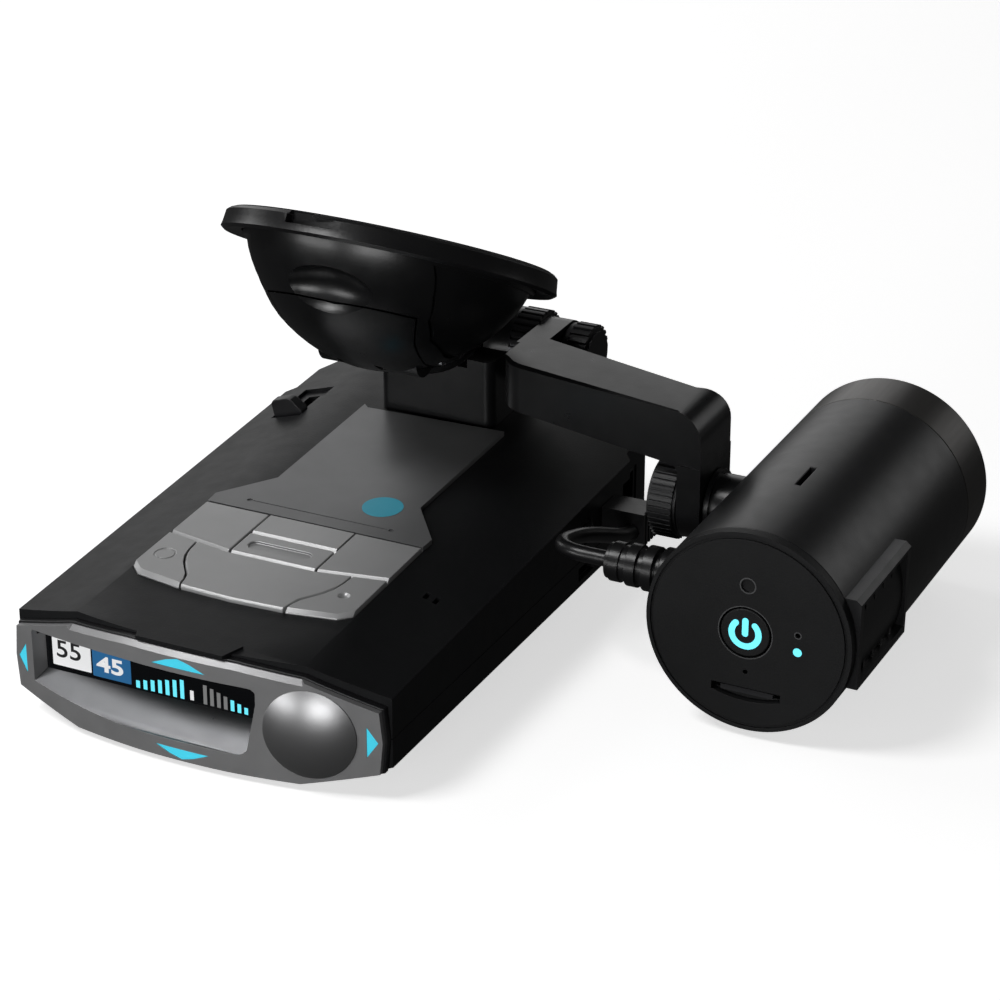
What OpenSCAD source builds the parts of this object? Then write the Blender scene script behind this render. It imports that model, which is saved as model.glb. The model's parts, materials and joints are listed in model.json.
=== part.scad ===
// Windscreen radar detector on a suction-cup mount, with a side arm that carries a round dash camera.
// Everything is drawn in the case's own frame (X across, Y away from the driver, Z up) and then moved so
// that the origin is the centre of the suction face.

/* [Case] */
// Width of the case at its front corners
case_w = 83; // [80:0.5:86]
// Length of the case from the bowed face to the rear wall
case_l = 137; // [134:1:142]
// Height of the flat top above the datum at the front
case_top = 26.2; // [25.8:0.1:27]
// Rise of the top towards the rear, in degrees
top_tilt = 2.4; // [2:0.1:2.8]
// Thickness of the case walls
wall = 2.2; // [2:0.1:2.4]
// Height of the seam between the two shells
seam_z = 12.6; // [12:0.1:13.2]
// Plan radius of the bowed front face
face_r = 153; // [140:1:170]

/* [Controls] */
// Height of the keys and the plate above the case top
key_proud = 1.0; // [0.8:0.1:1.2]
// Gap between neighbouring keys
key_gap = 0.4; // [0.3:0.05:0.5]
// Radius of the round rear lens in the bezel
rear_lens_r = 9.4; // [8.5:0.1:9.8]

/* [Suction mount] */
// Lean of the suction face away from level, in degrees
cup_tilt = 28; // [26:1:30]
// Radius of the suction cup's rim
rim_r = 35.2; // [34:0.1:36]
// Depth of the dome under the rim
dome_depth = 27; // [26:0.5:28]

/* [Camera] */
// Radius of the camera barrel
cam_r = 21.4; // [21:0.1:21.8]
// Length of the camera from end face to lens rim
cam_l = 83; // [80:1:88]
// Radius of the thumbwheel that clamps the camera
wheel_r = 9; // [8:0.25:9]

/* [Hidden] */
$fn = 72;

face_y = -5.1;
rear_y = face_y + case_l;
half_w = case_w / 2;
half_w_rear = half_w + 1.1;
shell_set = 2.65;
plate_t = 1.2;
case_floor = 0.8;
shoulder_x = 25.3;
shoulder_slope = 0.309;
chamfer_slope = 0.33;
fit_gap = 0.06;

// Display and lens in the bezel
display_y = 2;
display_x = [-35.4, 13.4];
display_z = [10.6, 20.6];
lens_x = 27.1;
lens_z = 12.9;

// Keypad lines
row_front = 33.7;
row_front_mid = 31.2;
row_mid = 40;
row_back = 48.4;
column_x = 9.9;
pad_x = 24.9;

// Suction cup
cup_at = [0, 85, 78];
dome_r = 31;
lever_top = -16;
lever_pin_at = [2.5, -22];
lever_pin_r = 1.2;
knuckle_r = 4.4;
knuckle_x = 11.5;

// Hinge between the cup and the neck, and pivot between the arm and the camera
hinge_at = [119, 45];
pivot_at = [92, 30];
shaft_r = 2;
neck_w = 13.7;
ear_in = 7.7;
arm_x = [19.2, 24.9];
arm_top = 52;
leg_x = [65, 70.2];

// Camera
cam_x = 93.4;
cam_z = 23.5;
cam_y0 = 53;
cam_y1 = cam_y0 + cam_l;
button_r = 5.1;
relief_at = [64, 27];
relief_x0 = 59.3;

// Side sockets in the right-hand wall: [y, z]
plug_at = [100.5, 17.2];
headphone_at = [90, 18.4];
power_at = [114, 17];
data_at = [90, 9.4];

// Lead between the camera and the case: route and diameter
lead_d = 3.4;
lead_route = [[59.3, 64, 27], [56.6, 64, 27], [53.6, 64, 27], [51.4, 64.2, 27], [49.6, 64.9, 26.9],
    [48, 66.2, 26.7], [47.1, 68, 26.4], [46.8, 70.4, 25.9], [46.8, 73.6, 25], [47.2, 77.4, 23.9],
    [47.8, 81.4, 22.4], [48.4, 85, 20.9], [49, 88.6, 19.3], [49.4, 92, 17.9], [49.6, 95, 17], [49.6, 97, 16.6]];

function bow(x) = face_y + face_r - sqrt(face_r * face_r - x * x);
function flip(half) = concat(half, [for (i = [len(half) - 1 : -1 : 0]) [-half[i][0], half[i][1]]]);
function arc(c, r, a0, a1, n = 8) = [for (i = [0 : n]) c + r * [cos(a0 + (a1 - a0) * i / n), sin(a0 + (a1 - a0) * i / n)]];

// ---------------------------------------------------------------- placing helpers

// A solid with an outline in X and Z, between two Y values
module along_y(points, y0, y1) {
    translate([0, y1, 0]) rotate([90, 0, 0]) linear_extrude(y1 - y0) polygon(points);
}

// A solid with an outline in Y and Z, between two X values
module along_x(points, x0, x1) {
    translate([x0, 0, 0]) rotate([90, 0, 90]) linear_extrude(x1 - x0) polygon(points);
}

// A round bar along X, at [y, z]
module rod_x(at, r, x0, x1) {
    translate([x0, at[0], at[1]]) rotate([0, 90, 0]) cylinder(r = r, h = x1 - x0);
}

// A round bar along Y, at [x, z]
module rod_y(at, r, y0, y1) {
    translate([at[0], y0, at[1]]) rotate([-90, 0, 0]) cylinder(r = r, h = y1 - y0);
}

module box(low, high) {
    translate(low) cube(high - low);
}

module in_row_frame() {
    translate(-cup_at) children();
}

// Children lie on the case's sloping top, with their own Z across it
module on_top() {
    translate([0, 0, case_top]) rotate([top_tilt, 0, 0]) children();
}

// Children stand under the suction face: Z out of the glass side, Y down the glass
module in_cup() {
    translate(cup_at) rotate([-cup_tilt, 0, 0]) children();
}

// Everything behind the bowed surface that lies a set distance behind the face
module behind_face(set) {
    translate([0, face_y + face_r + set, -5]) cylinder(r = face_r, h = 60, $fn = 180);
}

// A curved plate that follows the bowed face between two depths
module face_plate(points, front, back) {
    difference() {
        intersection() {
            along_y(points, face_y, 12);
            behind_face(front);
        }
        behind_face(back);
    }
}

// ---------------------------------------------------------------- case

function plan(inset) = flip([[half_w - inset, -30], [half_w_rear - inset, 112], [half_w_rear - 1.8 - inset, 114],
    [half_w_rear - 1.8 - inset, rear_y - 7.5], [35.5 - inset, rear_y - inset]]);

module case_solid(inset) {
    intersection() {
        linear_extrude(60) polygon(plan(inset));
        on_top() translate([0, 170, 0]) rotate([90, 0, 0]) linear_extrude(230)
            polygon(flip([[shoulder_x, -inset], [60, -inset - (60 - shoulder_x) * shoulder_slope], [60, -60]]));
        along_y(flip([[25, case_floor + inset], [60, case_floor + inset + 35 * chamfer_slope], [60, 90]]), -30, 170);
    }
}

module case_cavity() {
    case_solid(wall);
}

screw_at = [[33, 12], [-33, 12], [33, 125], [-33, 125]];

module top_shell() {
    color("#17181a") difference() {
        union() {
            difference() {
                intersection() {
                    case_solid(0);
                    behind_face(shell_set);
                    box([-60, -30, seam_z], [60, 160, 60]);
                }
                case_cavity();
            }
            intersection() {
                case_solid(0.6);
                for (p = screw_at) translate([p[0], p[1], 8.7]) cylinder(r = 3, h = 40);
            }
            centre_lip();
        }
        for (p = screw_at) translate([p[0], p[1], 0]) cylinder(r = 1.25, h = 14);
        on_top() {
            translate([0, 0, -5]) linear_extrude(10) polygon(key_window());
            translate([0, 0, -0.8]) linear_extrude(4) polygon(plate_outline(0.1));
            for (x = [32.2, 34.3]) translate([x, 36.2, -5]) cube([0.9, 2.2, 7], center = true);
        }
        button_track();
        wall_openings();
        rear_window();
    }
}

// Short ledge over the middle of the bezel
module centre_lip() {
    intersection() {
        on_top() translate([0, 0, -0.4]) linear_extrude(0.85) polygon(flip([[11.4, 0.6], [9.6, -4.3]]));
        behind_face(0.5);
    }
}

module bottom_shell() {
    color("#17181a") difference() {
        intersection() {
            union() {
                difference() {
                    case_solid(0);
                    case_cavity();
                }
                for (p = screw_at) translate([p[0], p[1], 0]) cylinder(r = 3.4, h = 8.5);
            }
            case_solid(0);
            behind_face(shell_set);
            box([-60, -30, -5], [60, 160, seam_z - 0.15]);
        }
        for (p = screw_at) translate([p[0], p[1], -1]) {
            cylinder(r = 1.35, h = 20);
            cylinder(r = 2.6, h = 6.5);
        }
        for (i = [-3 : 3]) box([i * 4 + 23, 58, -2], [i * 4 + 24.6, 82, 6]);
        wall_openings();
        rear_window();
    }
}

module case_screws() {
    color("#8a8d90") for (p = screw_at) translate([p[0], p[1], 0]) difference() {
        union() {
            translate([0, 0, 4.3]) cylinder(r = 2.3, h = 1.1);
            translate([0, 0, 5.3]) cylinder(r = 1.2, h = 8.2);
        }
        translate([0, 0, 4.2]) cylinder(r = 0.9, h = 0.7, $fn = 6);
    }
}

// Openings through the right-hand side wall
module wall_openings() {
    rod_x(plug_at, 3.1, 30, 60);
    rod_x(headphone_at, 3.1, 30, 60);
    box([30, power_at[0] - 5.6, power_at[1] - 4.3], [60, power_at[0] + 5.6, power_at[1] + 4.3]);
    box([30, data_at[0] - 3.8, data_at[1] - 1.5], [60, data_at[0] + 3.8, data_at[1] + 1.5]);
}

// Window in the rear wall for the laser lens
module rear_window() {
    box([7, rear_y - 6, 8.5], [31, rear_y + 5, 20.5]);
}

// Shallow track in the left shoulder behind the release button
module shoulder_frame() {
    translate([-33.3, 0, case_top - (33.3 - shoulder_x) * shoulder_slope]) rotate([top_tilt, 0, 0]) rotate([0, -17, 0]) children();
}

module button_track() {
    shoulder_frame() {
        box([-3.9, 95.7, -0.8], [3.9, 111.4, 8]);
        box([-1.5, 96.8, -8], [1.5, 108.6, 0]);
    }
}

module release_button() {
    color("#101113") shoulder_frame() union() {
        along_y([[-3.7, -0.7], [3.7, -0.7], [3.7, 0.4], [1.9, 3.3], [0.9, 3.7], [-2.9, 3.6], [-3.5, 3], [-3.7, 0.4]], 96.9, 99.4);
        along_y([[-3, -0.7], [3, -0.7], [3, 0.4], [1.4, 2.5], [-2.6, 2.6], [-3, 0.4]], 99.3, 100.6);
        box([-1.2, 97.2, -5.4], [1.2, 99.2, -0.5]);
    }
}

module latch_spring() {
    color("silver") shoulder_frame() for (x = [-2.6, 2.6]) rod_y([x, -4.4], 0.7, 99.6, 110);
}

// ---------------------------------------------------------------- bezel and display

function bezel_outline(grow) = flip([[12, 25.15 + grow], [25.5 + grow * 0.2, 24.2 + grow], [40.5 + grow, 19.3 + grow * 0.7],
    [41.1 + grow, lens_z], [40.5 + grow, 6 - grow * 0.7], [25 + grow * 0.2, 1.8 - grow], [10, 1.55 - grow]]);

function window_outline() = concat(arc([-32.6, 9.6], 3.8, 180, 270), arc([12, 8.3], 2.5, 270, 340),
    arc([14.9, 19], 1.8, -5, 90, 4), arc([-34.2, 18.6], 2.2, 90, 180, 4));

// The sloping tunnel that leads from the bezel's window back to the display
module hood_cavity() {
    intersection() {
        linear_extrude(40) polygon([[-36.5, -12], [-36.4, -1], [-34.6, 2.5], [12.4, 2.5], [16.4, -4], [16.4, -12]]);
        along_x([[-12, 5.8], [-4.5, 5.8], [display_y + 0.5, 10.8], [display_y + 0.5, 19.2], [-4.5, 20.8], [-12, 20.8]], -38, 18);
    }
}

module front_bezel() {
    color("#8e9296") difference() {
        union() {
            face_plate(bezel_outline(0), 0, plate_t);
            intersection() {
                box([-38, -5, 4.6], [18.4, display_y, 22]);
                behind_face(plate_t - 0.1);
                case_solid(wall + 0.25);
                along_y(bezel_outline(-2.3), -10, 10);
            }
        }
        intersection() {
            along_y(window_outline(), -12, 12);
            hood_cavity();
        }
        rotated_lens_hole();
        arrow_shapes(-0.2, 0.7);
    }
}

module at_rear_lens() {
    translate([lens_x, bow(lens_x), lens_z]) rotate([90, 0, asin(lens_x / face_r)]) children();
}

module rotated_lens_hole() {
    at_rear_lens() translate([0, 0, -20]) cylinder(r = rear_lens_r + 0.05, h = 30);
}

// Domed lens: a spherical cap on a short collar
module rear_laser_lens() {
    cap_h = 2.3;
    ball_r = (rear_lens_r * rear_lens_r + cap_h * cap_h) / (2 * cap_h);
    color("#b9bdc0") at_rear_lens() {
        intersection() {
            translate([0, 0, cap_h - ball_r]) sphere(r = ball_r, $fn = 96);
            cylinder(r = rear_lens_r, h = 8);
        }
        translate([0, 0, -1.1]) cylinder(r = rear_lens_r, h = 1.1);
        translate([0, 0, -6]) cylinder(r = 7.6, h = 4.9);
    }
}

module arrow_shapes(front, back) {
    up = [[-6.1, 21.8], [6.1, 21.8], [2.6, 23.3], [0, 24], [-2.6, 23.3]];
    down = [for (p = up) [p[0], 25.9 - p[1]]];
    right = [[38.1, 9.5], [38.1, 16.1], [40.3, 12.8]];
    left = [for (p = right) [-p[0], p[1]]];
    for (shape = [up, down, right, left]) face_plate(shape, front, back);
}

module arrow_lights() {
    color("#35c4e8") arrow_shapes(0.05, 0.65);
}

module bezel_frame() {
    color("#0c0d0e") difference() {
        face_plate(bezel_outline(0.45), plate_t + 0.02, shell_set - 0.05);
        along_y(bezel_outline(-2), -12, 20);
    }
}

module display_window() {
    color("#05070a") box([display_x[0], display_y + 0.02, display_z[0] - 0.4], [display_x[1], display_y + 0.9, display_z[1]]);
}

module display_module() {
    color("#123a2a") union() {
        box([display_x[0] - 0.4, display_y + 1, display_z[0] - 3], [display_x[1] + 0.6, display_y + 2.6, display_z[1] - 0.4]);
        box([-30, display_y + 2.6, display_z[0] - 2], [8, display_y + 4.6, display_z[1] - 4]);
    }
}

// ---------------------------------------------------------------- control plate and keys

function pad_front() = [[-pad_x, 19.6], [-22.5, 17.3], [-11.6, 15.5], [0, 15], [11.6, 15.5], [22.5, 17.3], [pad_x, 19.6]];

function key_window() = concat([for (p = pad_front()) [p[0] * 1.007, p[1] - 0.18]],
    [[pad_x + 0.17, row_back + 0.25], [-pad_x - 0.17, row_back + 0.25]]);

function plate_outline(grow) = [[-25 - grow, row_back + 0.3 - grow], [25 + grow, row_back + 0.3 - grow], [25.2 + grow, 52.3],
    [16.8 + grow, 63.6], [17.2 + grow, 102.2 + grow], [-15.4, 100.9 + grow], [-16.8 - grow, 102.2 + grow],
    [-16.8 - grow, 63.6], [-25.2 - grow, 52.3]];

module control_plate() {
    color("#8f9396") on_top() difference() {
        translate([0, 0, -0.75]) linear_extrude(key_proud + 0.7) polygon(plate_outline(0));
        translate([-0.6, 52.4, key_proud + 0.05]) cube([31.4, 0.35, 0.5], center = true);
        for (x = [-17.1, 15.9]) translate([x, 52.4, key_proud - 0.3]) cylinder(r = 0.6, h = 2, $fn = 24);
    }
}

// The curved split between a corner key and the centre key, for the right-hand side
function s_curve() = [[17.8, row_line(17.8)], [17.5, 28.9], [16.9, 26.2], [15.8, 23.9], [14.3, 21.8], [12.9, 19.9], [12.1, 17.8],
    [11.8, 15.2]];

// Front line of the rear keys: straight in the middle, swept back at the sides
function row_line(x) = row_front_mid + max(0, abs(x) - column_x) * (row_front - row_front_mid) / (pad_x - column_x);

module key_blank(points) {
    on_top() translate([0, 0, -0.6]) linear_extrude(key_proud + 0.6) polygon(points);
}

module key_stem(at) {
    on_top() translate([at[0], at[1], -1.3]) cylinder(r = 1.5, h = 0.8, $fn = 32);
}

module left_key() {
    g = key_gap / 2;
    color("#a6a9ac") union() {
        key_blank([[-pad_x, row_front + g], [-column_x - g, row_front_mid + g], [-column_x - g, row_back - g], [-pad_x, row_back - g]]);
        key_stem([-17, 41]);
    }
}

module right_key() {
    mirror([1, 0, 0]) left_key();
}

module upper_key() {
    g = key_gap / 2;
    color("#a6a9ac") union() {
        key_blank([[-column_x + g, row_mid + g], [column_x - g, row_mid + g], [column_x - g, row_back - g], [-column_x + g, row_back - g]]);
        key_stem([0, 44.5]);
    }
}

module bar_key() {
    g = key_gap / 2;
    color("#a6a9ac") difference() {
        union() {
            key_blank([[-column_x + g, row_front_mid + g], [column_x - g, row_front_mid + g], [column_x - g, row_mid - g],
                [-column_x + g, row_mid - g]]);
            key_stem([0, 36]);
        }
        on_top() translate([-0.6, 35.8, key_proud - 0.5]) linear_extrude(2)
            polygon(concat(arc([5.6, 0], 1.5, -90, 90), arc([-5.6, 0], 1.5, 90, 270)));
    }
}

module corner_key(side) {
    g = key_gap / 2;
    front = [[11.8 + g, 15.52], [22.5, 17.3], [pad_x, 19.6], [pad_x, row_front - g]];
    split = [for (p = s_curve()) if (p[1] > 15.6) [p[0] + g, min(p[1], row_line(17.8) - g)]];
    key_blank([for (p = concat(front, split)) [side * p[0], p[1]]]);
    key_stem([side * 20, 26]);
}

// Raised ring on the left corner key, small dome on the right one
module left_corner_key() {
    color("#a6a9ac") difference() {
        corner_key(-1);
        on_top() translate([-21, 25.3, key_proud - 0.15]) difference() {
            cylinder(r = 2.3, h = 1);
            cylinder(r = 1.9, h = 1);
        }
    }
}

module right_corner_key() {
    color("#a6a9ac") difference() {
        corner_key(1);
        on_top() translate([20, 24.8, key_proud + 0.9]) sphere(r = 1.5);
    }
}

module centre_key() {
    g = key_gap / 2;
    split = [for (i = [len(s_curve()) - 1 : -1 : 0]) let (p = s_curve()[i]) if (p[1] > 15.6) [p[0] - g, min(p[1], row_line(17.8) - g)]];
    half = concat([[11.7 - g, 15.54]], split, [[column_x, row_front_mid - g]]);
    left = [for (i = [len(half) - 1 : -1 : 0]) [-half[i][0], half[i][1]]];
    color("#a6a9ac") union() {
        key_blank(concat([[0, 15.02]], half, left));
        key_stem([0, 25]);
    }
}

module key_mat() {
    color("#26282b") on_top() union() {
        translate([-23.6, 17.2, -4]) cube([47.2, 30.4, 1]);
        for (p = [[-17, 41], [17, 41], [0, 44.5], [0, 36], [-20, 26], [20, 26], [0, 25]])
            translate([p[0], p[1], -3]) cylinder(r1 = 2.2, r2 = 1.4, h = 0.9, $fn = 32);
    }
}

// ---------------------------------------------------------------- inside the case

module main_board() {
    color("#14532d") union() {
        box([-29, 24, 5], [29.6, 112, 6.6]);
        box([-24, 30, 6.6], [-10, 44, 8.2]);
        box([-26, 52, 6.6], [-4, 70, 9.4]);
        box([6, 46, 6.6], [30, 54, 8.4]);
        for (i = [0 : 4]) box([-22 + 7 * i, 84, 6.6], [-18 + 7 * i, 90, 8]);
    }
}

module horn(x0, x1, z0, z1, throat, mouth) {
    low = min(throat, mouth);
    high = max(throat, mouth);
    mx = (x0 + x1) / 2;
    mz = (z0 + z1) / 2;
    difference() {
        box([x0, low, z0], [x1, high, z1]);
        intersection() {
            linear_extrude(60) polygon([[mx - 3, throat], [mx + 3, throat], [x1 - 1.5, mouth], [x0 + 1.5, mouth]]);
            along_x([[throat, mz - 2], [throat, mz + 2], [mouth, z1 - 1.5], [mouth, z0 + 1.5]], x0 - 1, x1 + 1);
        }
    }
}

module forward_horn() {
    color("#9aa0a6") horn(-24, 4, 9.8, 24, 92, 129.2);
}

module rearward_horn() {
    color("#9aa0a6") horn(-9, 9, 9.2, 19, 45, 24);
}

module front_laser_lens() {
    color("#2a0d10") union() {
        box([7.1, rear_y - 1.9, 8.6], [30.9, rear_y - 0.3, 20.4]);
        rod_y([13, 14.5], 4.6, rear_y - 9, rear_y - 1.9);
        rod_y([25, 14.5], 4.6, rear_y - 9, rear_y - 1.9);
    }
}

module speaker() {
    color("#2c2e31") translate([22.5, 70, 9.2]) union() {
        cylinder(r = 11, h = 2);
        translate([0, 0, 2]) cylinder(r = 7, h = 3.4);
    }
}

module gps_antenna() {
    color("#c9b58f") box([-9, 71, 23.4], [9, 89, 26.4]);
}

module mount_magnets() {
    color("#a8abad") for (x = [-9.5, 9.5]) translate([x, 114, 25.6]) cylinder(r = 4.5, h = 2.4);
}

// A jack body that fills one of the round wall openings
module round_socket(at, bore, depth) {
    difference() {
        union() {
            rod_x(at, 3, 39.8, 42);
            box([30.5, at[0] - 4, at[1] - 4], [39.8, at[0] + 4, at[1] + 4]);
        }
        rod_x(at, bore, 42 - depth, 50);
    }
}

module headphone_jack() {
    color("#1c1d1f") round_socket(headphone_at, 1.75, 10);
}

module camera_socket() {
    color("#1c1d1f") round_socket(plug_at, 1.5, 10);
}

module power_jack() {
    color("#1c1d1f") difference() {
        box([31, power_at[0] - 5.5, power_at[1] - 4.2], [40.5, power_at[0] + 5.5, power_at[1] + 4.2]);
        box([33, power_at[0] - 4.5, power_at[1] - 3], [42, power_at[0] + 4.5, power_at[1] + 3.2]);
        box([33, power_at[0] - 1.6, power_at[1] - 4], [42, power_at[0] + 1.6, power_at[1] - 2.9]);
    }
}

module data_port() {
    color("#b4b7ba") difference() {
        box([35.5, data_at[0] - 3.7, data_at[1] - 1.4], [41.6, data_at[0] + 3.7, data_at[1] + 1.4]);
        box([37, data_at[0] - 3.3, data_at[1] - 1], [43, data_at[0] + 3.3, data_at[1] + 1]);
        box([35, data_at[0] - 2.2, data_at[1] - 0.3], [38, data_at[0] + 2.2, data_at[1] + 0.3]);
    }
}

// ---------------------------------------------------------------- neck and hinge

module mount_neck() {
    color("#141517") difference() {
        intersection() {
            union() {
                box([-neck_w, 103.3, 25], [neck_w, 127, 46]);
                rod_x(hinge_at, 8, -neck_w, neck_w);
            }
            union() {
                linear_extrude(60) polygon(flip(concat([[neck_w - 2.4, 103.3]], arc([neck_w - 2.4, 105.7], 2.4, -90, 0), [[neck_w, 128]])));
            }
        }
        box([-ear_in, 105.6, 36.4], [ear_in, 130, 60]);
        box([-ear_in, 100, 44], [ear_in, 110, 60]);
        translate([0, 0, 0.05]) on_top() box([-40, -20, -40], [40, 170, 0]);
        rod_x(hinge_at, shaft_r + fit_gap, -30, 30);
        rod_x(hinge_at, 4.1, -neck_w - 1, -neck_w + 2.2);
    }
}

module hinge_bolt() {
    color("#77797c") union() {
        rod_x(hinge_at, shaft_r, -neck_w + 0.2, 29.6);
        rod_x(hinge_at, 3.9, -neck_w - 1.2, -neck_w + 2.1);
    }
}

// Ring of clamping teeth between the neck and the arm
module toothed_washer() {
    teeth = 30;
    color("#1a1b1d") difference() {
        rod_x(hinge_at, 8.3, neck_w + 0.1, arm_x[0] - 0.1);
        rod_x(hinge_at, shaft_r + 0.1, 0, 40);
        for (i = [0 : teeth - 1])
            translate([0, hinge_at[0], hinge_at[1]]) rotate([i * 360 / teeth, 0, 0])
                box([neck_w, -0.4, 7.6], [arm_x[0], 0.4, 9]);
    }
}

// A round grip with grooves along its rim
module grip(at, r, x0, x1, grooves) {
    difference() {
        rod_x(at, r, x0, x1);
        for (i = [0 : grooves - 1])
            translate([0, at[0], at[1]]) rotate([i * 360 / grooves, 0, 0])
                box([x0 - 1, -0.5, r - 0.6], [x1 + 1, 0.5, r + 1]);
    }
}

module hinge_knob() {
    color("#101113") difference() {
        union() {
            grip(hinge_at, 7, arm_x[1] + 1.3, arm_x[1] + 5.8, 22);
            rod_x(hinge_at, 6.6, arm_x[1] + 0.3, arm_x[1] + 1.4);
            rod_x(hinge_at, 5.6, arm_x[1] + 5.7, arm_x[1] + 6.4);
        }
        rod_x(hinge_at, shaft_r + fit_gap, 0, arm_x[1] + 5.2);
    }
}

// ---------------------------------------------------------------- suction cup

function dome_profile() = concat([[0, -0.5], [dome_r, -0.5]],
    [for (k = [0 : 16]) let (u = sin(90 * k / 16)) [dome_r * sqrt(1 - pow(u, 1.5)), -3 - (dome_depth - 3) * u]]);

module dome(s) {
    scale(s) rotate_extrude($fn = 120) polygon(dome_profile());
}

// The part of the dome's skin that the lever takes up
module lever_zone(gap) {
    half = [[17.4, -45], [17, -17.5], [14.9, -11.8], [13.1, 1]];
    translate([0, 0, -45]) linear_extrude(45 + lever_top + gap)
        polygon(flip([for (p = half) [p[0] + gap, p[1] + (p[1] > 0 ? gap : 0)]]));
}

// Eye-shaped hollow across the lever's upper edge, for a fingertip
module finger_scoop() {
    half_l = 13.6;
    deep = 6;
    big = (half_l * half_l + deep * deep) / (2 * deep);
    a = asin(half_l / big);
    translate([0.6, -27.2, -15.4]) rotate([0, 90, 0]) rotate_extrude()
        polygon(concat([[0, -half_l]], [for (k = [-7 : 7]) [big * cos(a * k / 8) - big + deep, big * sin(a * k / 8)]], [[0, half_l]]));
}

module cup_housing() {
    beam_from = cup_beam_point();
    color("#121315") difference() {
        union() {
            in_cup() dome(1);
            for (s = [-1, 1]) translate([0, 90, 61.5]) rotate([0, 90, 0]) translate([0, 0, s * 5]) sphere(r = 13.1);
            rod_x([90, 61.5], 13, -5, 5);
            rod_x(hinge_at, 6.9, -7.4, 7.4);
            along_x([hinge_at + beam_normal() * 6.9, beam_from + beam_normal() * 6.9, beam_from - beam_normal() * 6.9,
                hinge_at - beam_normal() * 6.9], -7.4, 7.4);
        }
        in_cup() {
            difference() {
                intersection() {
                    dome(1.25);
                    lever_zone(0.35);
                }
                dome(0.915);
            }
            intersection() {
                translate([0, 0, 0.5]) dome(0.85);
                box([-40, -40, -17.5], [40, 40, 5]);
            }
            finger_scoop();
            rod_x(lever_pin_at, knuckle_r + 1.3, -13.8, 13.8);
            rod_x(lever_pin_at, lever_pin_r + 0.03, -15.9, 15.9);
            for (s = [-1, 1]) side_panel(s);
            translate([0, 0, -0.6]) cylinder(r = 60, h = 40);
            rotate_extrude() translate([dome_r + 0.05, -5]) square([40, 8]);
        }
        rod_x(hinge_at, shaft_r + fit_gap, -20, 20);
    }
}

function beam_dir() = [-0.761, 0.649];
function beam_normal() = [0.649, 0.761];
function cup_beam_point() = hinge_at + beam_dir() * 24;

// Shallow panel on each flank of the dome, with a slim groove along its front edge
module side_panel(s) {
    outline = [[-22.4, -5.2], [24, -5.2], [20, -14], [8, -21.5], [-1.5, -21.6], [-10.3, -19.4], [-15, -16.1], [-18.8, -11.2]];
    edge = [[-22.4, -5.2], [-18.8, -11.2], [-15, -16.1], [-10.3, -19.4], [-9.6, -18.6], [-14.2, -15.4], [-17.9, -10.7], [-21.4, -5.2]];
    for (panel = [[outline, 0.976], [edge, 0.95]]) difference() {
        intersection() {
            dome(1.2);
            mirror([s < 0 ? 1 : 0, 0, 0]) along_x(panel[0], 16, 40);
        }
        dome(panel[1]);
    }
}

module cup_rim() {
    color("#151618") in_cup() difference() {
        rotate_extrude($fn = 144) polygon([[dome_r + 0.1, -0.3], [rim_r - 1, -0.3], [rim_r - 0.3, -0.9], [rim_r, -3.4],
            [rim_r + 0.2, -4.2], [rim_r - 0.6, -4.8], [dome_r + 0.1, -4.2]]);
        rotate([0, 0, -101]) box([rim_r - 2, -0.6, -2.8], [rim_r + 4, 11.5, -1]);
        rotate([0, 0, -97]) box([rim_r - 2, -2.6, -1.6], [rim_r + 4, 3, 4]);
    }
}

module suction_pad() {
    color("#1b1c1e") in_cup() difference() {
        union() {
            translate([0, 0, -2.2]) cylinder(r = 24, h = 2.2);
            translate([0, 0, -0.25]) cylinder(r = 33.5, h = 0.25);
        }
        translate([0, 0, -3]) cylinder(r = 3.1, h = 1.6);
    }
}

module plunger() {
    color("#5c5f63") in_cup() union() {
        translate([0, 0, -2.15]) cylinder(r = 3, h = 0.6);
        translate([0, 0, -14]) cylinder(r = 2.2, h = 11.9);
    }
}

module cup_lever() {
    color("#121315") in_cup() difference() {
        union() {
            intersection() {
                difference() {
                    dome(1);
                    dome(0.935);
                }
                lever_zone(0);
            }
            rod_x(lever_pin_at, knuckle_r, -knuckle_x, knuckle_x);
        }
        finger_scoop();
        rod_x(lever_pin_at, lever_pin_r + fit_gap, -20, 20);
        for (x = [-4, 5]) box([x - 0.7, -6, -30], [x + 0.7, -1.8, -26.1]);
    }
}

module lever_pin() {
    color("silver") in_cup() rod_x(lever_pin_at, lever_pin_r, -15.7, 15.7);
}

// ---------------------------------------------------------------- arm

function arm_front(x) = 98.5 - 0.232 * x;
function arm_back(x) = 115.6 - 0.29 * x;

function arm_plan() = concat([[arm_x[0], 119]], arc([arm_x[0] + 8, arm_front(arm_x[0] + 8) + 8.2], 8, 180, 257, 8),
    [[leg_x[1], arm_front(leg_x[1]) + 1.6], [leg_x[1], 99.8], [leg_x[0] - 2, 98.2], [arm_x[1], arm_back(arm_x[1])], [arm_x[1], 119]]);

function arm_profile() = concat([[arm_x[0], arm_top - 0.8], [arm_x[0] + 0.8, arm_top]],
    arc([leg_x[1] - 6, arm_top - 6], 6, 90, 0, 10), [[leg_x[1], pivot_at[1]], [leg_x[0], pivot_at[1]]],
    arc([leg_x[0] - 2.4, 37.6], 2.4, 0, 90, 6), [[arm_x[0], 41.4]]);

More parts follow.
